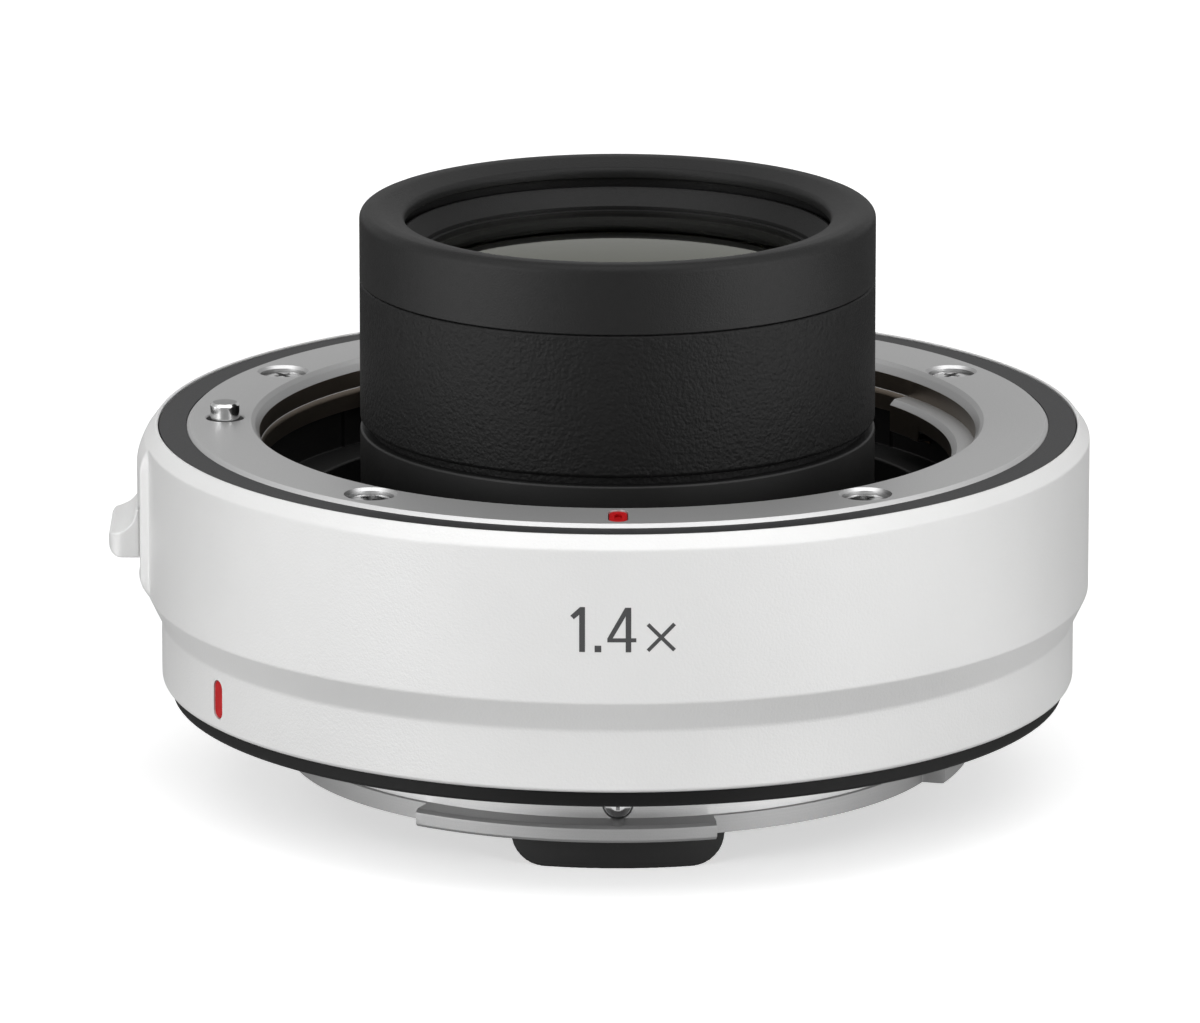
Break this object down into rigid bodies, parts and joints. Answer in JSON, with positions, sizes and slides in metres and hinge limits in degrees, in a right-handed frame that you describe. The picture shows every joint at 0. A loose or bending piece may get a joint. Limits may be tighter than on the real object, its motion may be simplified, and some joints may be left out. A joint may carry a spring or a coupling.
{
  "type": "camera teleconverter",
  "caption": "White drum-shaped teleconverter with a female bayonet in front, a tall black optical barrel, a sliding lock release, sprung contacts and a male bayonet behind.",
  "frame": {"origin": "centre of the rear mount's flange plane, on the optical axis", "axes": "+Z along the optical axis from the camera to the lens in front; -Y towards the front index mark and the contacts; +X to the right, seen from the index mark"},
  "size_m": [0.0739, 0.0712, 0.0449],
  "materials": {
    "shell_white": "fine matt enamel",
    "trim_dark": "satin moulded ring",
    "mount_steel": "turned satin",
    "fastener_steel": "bright plated",
    "mark_red": "glossy fill",
    "spring_bronze": "rolled sheet",
    "frame_black": "fine moulded matt",
    "barrel_black": "crinkle paint",
    "ring_black": "fine matt paint",
    "cell_black": "black anodised",
    "carrier_grey": "as pressed",
    "lens_glass": "coated",
    "contact_gold": "gold plated",
    "board_green": "solder mask",
    "chip_black": "moulded",
    "flex_amber": "polyimide film",
    "gasket_rubber": "moulded"
  },
  "bodies": {
    "housing": {"outer_shell": "shell_white", "trim_ring": "trim_dark", "front_mount": "mount_steel", "rear_mount": "mount_steel", "front_mount_screws": "fastener_steel", "rear_mount_screws": "fastener_steel", "contact_block_screw": "fastener_steel", "cell_screws": "fastener_steel", "front_contact_screws": "fastener_steel", "board_screws": "fastener_steel", "lock_spring": "fastener_steel", "contact_springs": "fastener_steel", "front_index_mark": "mark_red", "rear_index_mark": "mark_red", "bayonet_springs": "spring_bronze", "mount_shim": "spring_bronze", "pin_bush": "spring_bronze", "spring_seat": "spring_bronze", "inner_frame": "frame_black", "rear_baffle": "frame_black", "front_contact_block": "frame_black", "rear_contact_block": "frame_black", "front_barrel": "barrel_black", "front_ring": "ring_black", "front_retainer": "ring_black", "lens_cell": "cell_black", "rear_retainer": "cell_black", "cell_spacer_1": "cell_black", "cell_spacer_2": "cell_black", "element_1": "lens_glass", "element_2": "lens_glass", "element_3": "lens_glass", "element_4": "lens_glass", "element_5": "lens_glass", "element_6": "lens_glass", "element_7": "lens_glass", "rear_contact_pads": "contact_gold", "main_board": "board_green", "contact_board": "board_green", "board_chips": "chip_black", "flex_cable": "flex_amber", "rear_gasket": "gasket_rubber"},
    "release": {"release_lever": "shell_white", "lever_carrier": "carrier_grey", "lever_screws": "fastener_steel", "lock_pin": "fastener_steel", "pin_clip": "fastener_steel"},
    "contact_1": {"contact_pin_1": "contact_gold"},
    "contact_2": {"contact_pin_2": "contact_gold"},
    "contact_3": {"contact_pin_3": "contact_gold"},
    "contact_4": {"contact_pin_4": "contact_gold"},
    "contact_5": {"contact_pin_5": "contact_gold"},
    "contact_6": {"contact_pin_6": "contact_gold"},
    "contact_7": {"contact_pin_7": "contact_gold"},
    "contact_8": {"contact_pin_8": "contact_gold"},
    "contact_9": {"contact_pin_9": "contact_gold"},
    "contact_10": {"contact_pin_10": "contact_gold"},
    "contact_11": {"contact_pin_11": "contact_gold"},
    "contact_12": {"contact_pin_12": "contact_gold"}
  },
  "joints": [
    {"name": "release_slide", "type": "slide", "parent": "housing", "child": "release", "axis": [0, 0, -1], "range_m": [0, 0.0017], "stiffness_N_per_m": 600, "springref_m": -0.003, "deforming": ["lock_spring"]},
    {"name": "contact_slide_1", "type": "slide", "parent": "housing", "child": "contact_1", "axis": [0, 0, -1], "range_m": [0, 0.001], "stiffness_N_per_m": 150, "springref_m": -0.001, "deforming": ["contact_springs"]},
    {"name": "contact_slide_2", "type": "slide", "parent": "housing", "child": "contact_2", "axis": [0, 0, -1], "range_m": [0, 0.001], "stiffness_N_per_m": 150, "springref_m": -0.001, "deforming": ["contact_springs"]},
    {"name": "contact_slide_3", "type": "slide", "parent": "housing", "child": "contact_3", "axis": [0, 0, -1], "range_m": [0, 0.001], "stiffness_N_per_m": 150, "springref_m": -0.001, "deforming": ["contact_springs"]},
    {"name": "contact_slide_4", "type": "slide", "parent": "housing", "child": "contact_4", "axis": [0, 0, -1], "range_m": [0, 0.001], "stiffness_N_per_m": 150, "springref_m": -0.001, "deforming": ["contact_springs"]},
    {"name": "contact_slide_5", "type": "slide", "parent": "housing", "child": "contact_5", "axis": [0, 0, -1], "range_m": [0, 0.001], "stiffness_N_per_m": 150, "springref_m": -0.001, "deforming": ["contact_springs"]},
    {"name": "contact_slide_6", "type": "slide", "parent": "housing", "child": "contact_6", "axis": [0, 0, -1], "range_m": [0, 0.001], "stiffness_N_per_m": 150, "springref_m": -0.001, "deforming": ["contact_springs"]},
    {"name": "contact_slide_7", "type": "slide", "parent": "housing", "child": "contact_7", "axis": [0, 0, -1], "range_m": [0, 0.001], "stiffness_N_per_m": 150, "springref_m": -0.001, "deforming": ["contact_springs"]},
    {"name": "contact_slide_8", "type": "slide", "parent": "housing", "child": "contact_8", "axis": [0, 0, -1], "range_m": [0, 0.001], "stiffness_N_per_m": 150, "springref_m": -0.001, "deforming": ["contact_springs"]},
    {"name": "contact_slide_9", "type": "slide", "parent": "housing", "child": "contact_9", "axis": [0, 0, -1], "range_m": [0, 0.001], "stiffness_N_per_m": 150, "springref_m": -0.001, "deforming": ["contact_springs"]},
    {"name": "contact_slide_10", "type": "slide", "parent": "housing", "child": "contact_10", "axis": [0, 0, -1], "range_m": [0, 0.001], "stiffness_N_per_m": 150, "springref_m": -0.001, "deforming": ["contact_springs"]},
    {"name": "contact_slide_11", "type": "slide", "parent": "housing", "child": "contact_11", "axis": [0, 0, -1], "range_m": [0, 0.001], "stiffness_N_per_m": 150, "springref_m": -0.001, "deforming": ["contact_springs"]},
    {"name": "contact_slide_12", "type": "slide", "parent": "housing", "child": "contact_12", "axis": [0, 0, -1], "range_m": [0, 0.001], "stiffness_N_per_m": 150, "springref_m": -0.001, "deforming": ["contact_springs"]}
  ]
}
